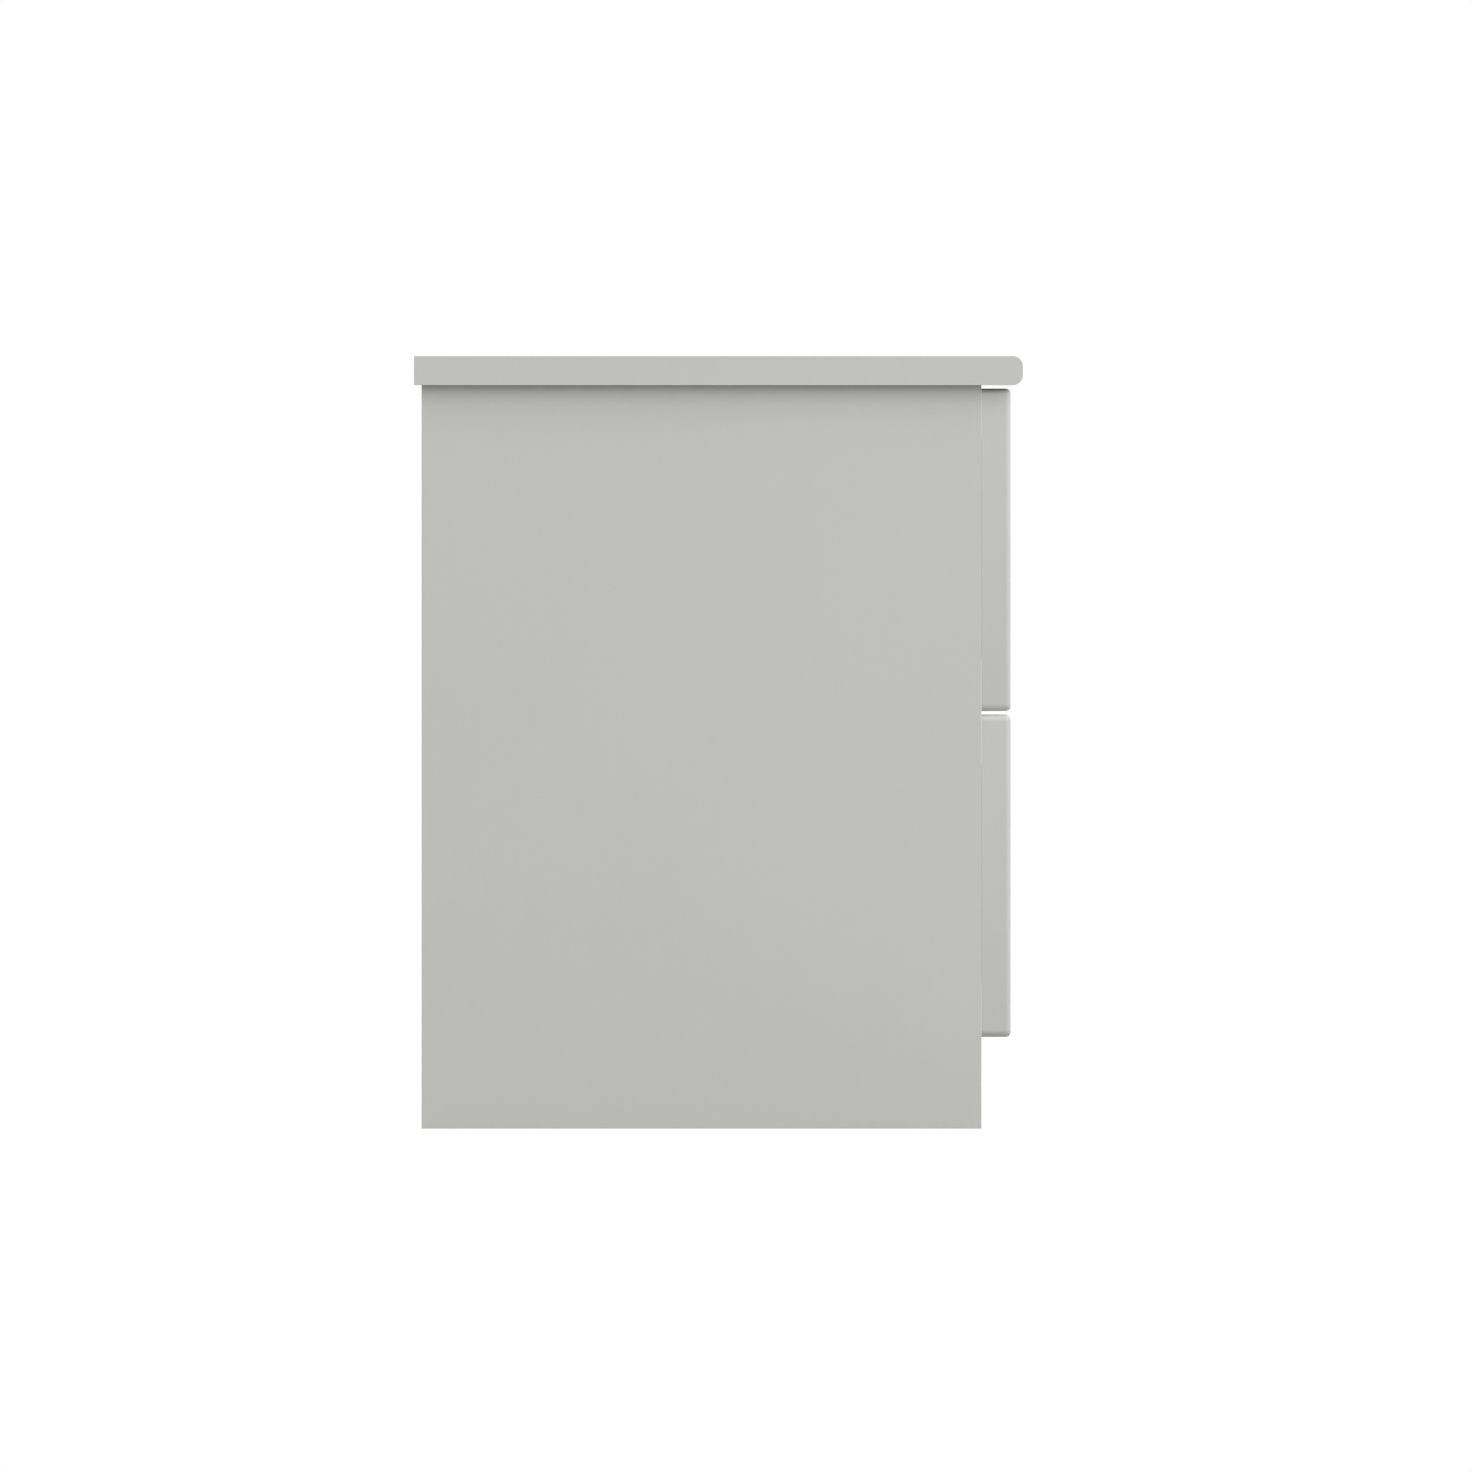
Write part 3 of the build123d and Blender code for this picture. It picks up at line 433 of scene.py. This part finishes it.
def with_cross_drive(mesh, arm, depth):
    """Cut a tapered cross-slot drive into the end at z = 0."""
    half = 0.28 * arm  # half the width of a slot
    taper = 0.6  # width at the bottom of the drive, as a share of its width at the top
    above = 0.3  # how far the cutter stands out of the head
    corners = [(arm, -half), (arm, half), (half, half), (half, arm), (-half, arm), (-half, half)]
    corners += [(-x, -y) for x, y in corners]
    top = [(x * MM, y * MM, -above * MM) for x, y in corners]
    bottom = [(taper * x * MM, taper * y * MM, depth * MM) for x, y in corners]
    count = len(corners)
    sides = [(i, (i + 1) % count, count + (i + 1) % count, count + i) for i in range(count)]
    lids = [tuple(range(count - 1, -1, -1)), tuple(range(count, 2 * count))]
    cutter_mesh = bpy.data.meshes.new("cutter")
    cutter_mesh.from_pydata(top + bottom, [], sides + lids)
    blank = bpy.data.objects.new("blank", mesh)
    cutter = bpy.data.objects.new("cutter", cutter_mesh)
    for thing in (blank, cutter):
        bpy.context.scene.collection.objects.link(thing)
    cut = blank.modifiers.new("drive", "BOOLEAN")
    cut.operation = "DIFFERENCE"
    cut.solver = "EXACT"
    cut.object = cutter
    bpy.context.view_layer.update()
    result = bpy.data.meshes.new_from_object(blank.evaluated_get(bpy.context.evaluated_depsgraph_get()))
    for thing in (blank, cutter):
        bpy.data.objects.remove(thing)
    return result


def shank_rows(start, length, radius, pitch, ridge):
    """Threaded shank with a conical tip that ends at length."""
    core = radius - ridge
    cone = 1.6 * core  # length of the tip
    return threaded_rows(start, length - cone, core, pitch, ridge) + plain_rows((0, length))


def pan_screw(head_radius, length, head_height, pitch):
    radius = head_radius / 2
    rows = domed_head(head_radius, head_height, rim=0.3 * head_height)
    rows += shank_rows(head_height, length, radius, pitch, THREAD_SHARE * radius)
    return with_cross_drive(turned(rows, pitch=pitch), arm=0.9 * radius, depth=0.75 * head_height)


def flat_screw(head_radius, length, pitch):
    """Screw with a countersunk head, which narrows at about 45 degrees to the core of its thread."""
    radius = head_radius / 2
    core = (1 - THREAD_SHARE) * radius
    rim = 0.06 * radius
    rows = plain_rows((0, 0), (head_radius, 0), (head_radius, rim))
    rows += shank_rows(head_radius - core, length, radius, pitch, THREAD_SHARE * radius)
    return with_cross_drive(turned(rows, pitch=pitch), arm=1.05 * radius, depth=radius)


def ringed_nail(head_radius, length, pitch):
    radius = 0.41 * head_radius
    head_height = radius
    rows = domed_head(head_radius, head_height, rim=0.4 * head_height)
    rows += shank_rows(head_height, length, radius, pitch, RING_SHARE * radius)
    return turned(rows, segments=24, pitch=pitch, lead=0)


def cam_bolt(collar, length, head, head_length, neck, neck_end, joint, thread, pitch):
    """Bolt from its head, through the neck that the lock holds, to the wood thread past the joint.

    The radii are collar, head, neck and thread, and the places along it are head_length, neck_end
    and joint, where its two boards meet.
    """
    shaft = collar - 0.6
    collar_start = joint - 1.2
    core = (1 - THREAD_SHARE) * thread
    bevel = 0.4
    rows = plain_rows(
        (0, 0), (head - bevel, 0), (head, bevel), (head, head_length - bevel),
        (head - bevel, head_length), (neck, head_length), (neck, neck_end),
        (shaft - bevel, neck_end), (shaft, neck_end + bevel), (shaft, collar_start),
        (collar, collar_start), (collar, joint),
    )
    rows += threaded_rows(joint, length - bevel, core, pitch, THREAD_SHARE * thread)
    rows += plain_rows((core - bevel, length), (0, length))
    return with_cross_drive(turned(rows, pitch=pitch), arm=0.55 * head, depth=1.1)


def fluted_dowel(radius, length):
    """Pressed dowel with chamfered ends and straight glue flutes."""
    end_radius = radius - 0.9
    chamfer = 1
    rows = plain_rows(
        (0, 0), (end_radius, 0), (radius, chamfer),
        (radius, length - chamfer), (end_radius, length), (0, length),
    )
    return turned(rows, segments=96, flutes=16, flute_depth=0.35)


def islands(node):
    """The points of each separate solid in a CAD node, from a copy of its mesh with merged points."""
    shape = bmesh.new()
    shape.from_mesh(nodes[node].data)
    bmesh.ops.remove_doubles(shape, verts=shape.verts, dist=MERGE_DISTANCE)
    waiting = set(shape.verts)
    found = []
    for start in shape.verts:
        if start not in waiting:
            continue
        waiting.discard(start)
        reached, group = [start], []
        while reached:
            vertex = reached.pop()
            group.append(vertex.co.copy())
            for edge in vertex.link_edges:
                other = edge.other_vert(vertex)
                if other in waiting:
                    waiting.discard(other)
                    reached.append(other)
        found.append(group)
    shape.free()
    return found


def stand(group):
    """Where a CAD fastener stands: a matrix from its own frame, its largest radius and its length.

    The fastener runs along the longest side of its box, with its head at the wider end.
    """
    low = Vector([min(point[axis] for point in group) for axis in range(3)])
    high = Vector([max(point[axis] for point in group) for axis in range(3)])
    size = high - low
    axis = max(range(3), key=lambda i: size[i])
    middle = (low + high) / 2

    def radius_near(plane):
        near = END_SHARE * size[axis]
        offsets = [point - middle for point in group if abs(point[axis] - plane) < near]
        for offset in offsets:
            offset[axis] = 0
        return max(offset.length for offset in offsets)

    direction = Vector([float(i == axis) for i in range(3)])
    origin = middle.copy()
    origin[axis] = low[axis]
    if radius_near(high[axis]) > radius_near(low[axis]):
        direction.negate()
        origin[axis] = high[axis]
    place = Matrix.Translation(origin) @ direction.to_track_quat("Z", "Y").to_matrix().to_4x4()
    widths = [size[i] for i in range(3) if i != axis]
    return place, max(widths) / 2 / MM, size[axis] / MM


def body_of(node):
    bodies = frame["record"]["behaviour"]["bodies"]
    return next(body for body, members in bodies.items() if node in members)


def refine(node, prefix, maker, **proportions):
    """Replace a CAD node by one piece, with a detailed copy at each of its identical solids."""
    places = [stand(group) for group in islands(node)]
    _, radius, length = places[0]
    shape = maker(radius, length, **proportions)
    joined = bmesh.new()
    for place, _, _ in places:
        start = len(joined.verts)
        joined.from_mesh(shape)
        joined.verts.ensure_lookup_table()
        bmesh.ops.transform(joined, matrix=place, verts=joined.verts[start:])
    bmesh.ops.recalc_face_normals(joined, faces=joined.faces)
    name = f"{prefix}_{node}"
    mesh = bpy.data.meshes.new(name)
    joined.to_mesh(mesh)
    joined.free()
    mesh.shade_smooth()
    mesh.set_sharp_from_angle(angle=SHARP_ANGLE)
    mesh.materials.append(shared_finishes[slot_of[node]])
    piece = bpy.data.objects.new(name, mesh)
    bpy.context.scene.collection.objects.link(piece)
    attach(piece, body_of(node))
    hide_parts(node)


refine("carcass_dowels", "fluted", fluted_dowel)
refine(
    "carcass_cam_bolts", "threaded", cam_bolt,
    head=3, head_length=2.5, neck=1.7, neck_end=5.8, joint=32, thread=2.5, pitch=1.75,
)
refine("top_fixing_screws", "threaded", flat_screw, pitch=1.8)
refine("plinth_bracket_screws", "threaded", flat_screw, pitch=1.4)
refine("cabinet_runner_screws", "threaded", pan_screw, head_height=1.8, pitch=2.2)
refine("back_panel_nails", "ringed", ringed_nail, pitch=1.1)
for drawer in ("lower_drawer", "upper_drawer"):
    refine(f"{drawer}_dowels", "fluted", fluted_dowel)
    refine(
        f"{drawer}_cam_bolts", "threaded", cam_bolt,
        head=2.3, head_length=2, neck=1.3, neck_end=4.6, joint=22.4, thread=2, pitch=1.6,
    )
    refine(f"{drawer}_back_screws", "threaded", flat_screw, pitch=1.4)
    refine(f"{drawer}_bottom_screws", "threaded", pan_screw, head_height=2, pitch=1.4)
    refine(f"{drawer}_runner_screws", "threaded", flat_screw, pitch=1.4)

# ------------------------------------------------------------------------------------------
# Floor, light and camera
# ------------------------------------------------------------------------------------------

FLOOR_SIZE = 40.0
FLOOR_GAP = 0.2 * MM  # keeps the floor from lying in the plane of the panels' lower edges
FLOOR_SEEN = (0.92, 0.92, 0.915)  # its colour for the camera
FLOOR_BOUNCE = (0.38, 0.38, 0.376)  # its colour for the light that it throws back on the cabinet
FLOOR_ROUGHNESS = 0.9
BACKDROP_STRENGTH = 1.0
ROOM_STRENGTH = 1.07

floor_mesh = bpy.data.meshes.new("floor")
reach = FLOOR_SIZE / 2
floor_mesh.from_pydata(
    [(-reach, -reach, 0), (reach, -reach, 0), (reach, reach, 0), (-reach, reach, 0)], [], [(0, 1, 2, 3)]
)
floor = bpy.data.objects.new("floor", floor_mesh)
floor.location.z = cad_low.z - FLOOR_GAP
bpy.context.scene.collection.objects.link(floor)
floor_finish = Finish("studio_floor", Specular_IOR_Level=0.1)
floor_rays = floor_finish.tree.nodes.new("ShaderNodeLightPath").outputs["Is Camera Ray"]
floor_tone = floor_finish.mix(floor_rays, FLOOR_BOUNCE, FLOOR_SEEN)
floor_cloud = floor_finish.between(floor_finish.noise(1.5, 3.0), 0.99, 1.01)
floor_colour = floor_finish.shade(floor_tone, floor_cloud)
floor_mesh.materials.append(floor_finish.paint(floor_colour, FLOOR_ROUGHNESS))

# The camera sees a white backdrop, and the cabinet is lit by a slightly stronger white room
world = bpy.data.worlds.new("studio")
bpy.context.scene.world = world
world.use_nodes = True
world_nodes = world.node_tree.nodes
world_links = world.node_tree.links
backdrop = world_nodes["Background"]
room = world_nodes.new("ShaderNodeBackground")
for background, strength in ((backdrop, BACKDROP_STRENGTH), (room, ROOM_STRENGTH)):
    background.inputs["Color"].default_value = (1.0, 1.0, 1.0, 1.0)
    background.inputs["Strength"].default_value = strength
seen = world_nodes.new("ShaderNodeLightPath")
choice = world_nodes.new("ShaderNodeMixShader")
world_links.new(seen.outputs["Is Camera Ray"], choice.inputs[0])
world_links.new(room.outputs[0], choice.inputs[1])
world_links.new(backdrop.outputs[0], choice.inputs[2])
world_links.new(choice.outputs[0], world_nodes["World Output"].inputs["Surface"])

centre = (cad_low + cad_high) / 2


def softbox(name, direction, distance, size, power):
    """Square area light aimed at the middle of the object."""
    light = bpy.data.lights.new(name, "AREA")
    light.shape = "SQUARE"
    light.size = size
    light.energy = power
    lamp = bpy.data.objects.new(name, light)
    lamp.location = centre + Vector(direction).normalized() * distance
    lamp.rotation_mode = "QUATERNION"
    lamp.rotation_quaternion = (centre - lamp.location).to_track_quat("-Z", "Y")
    bpy.context.scene.collection.objects.link(lamp)


softbox("front_key", direction=(-0.45, -1.0, 0.75), distance=3.2, size=2.4, power=39)

# The camera sees the left side straight on, with the fronts on the right
VIEW_WIDTH = 962.25 * MM
VIEW_TO_FRONT = 11.505 * MM  # from the middle of the object to the middle of the view
VIEW_UP = 4.184 * MM
CAMERA_DISTANCE = 3.0

camera = bpy.data.cameras.new("camera")
camera.type = "ORTHO"
camera.ortho_scale = VIEW_WIDTH
eye = bpy.data.objects.new("camera", camera)
eye.location = Vector((cad_low.x - CAMERA_DISTANCE, centre.y - VIEW_TO_FRONT, centre.z + VIEW_UP))
eye.rotation_mode = "QUATERNION"
eye.rotation_quaternion = Vector((1, 0, 0)).to_track_quat("-Z", "Y")
bpy.context.scene.collection.objects.link(eye)
bpy.context.scene.camera = eye

bpy.context.scene.view_settings.view_transform = "Standard"
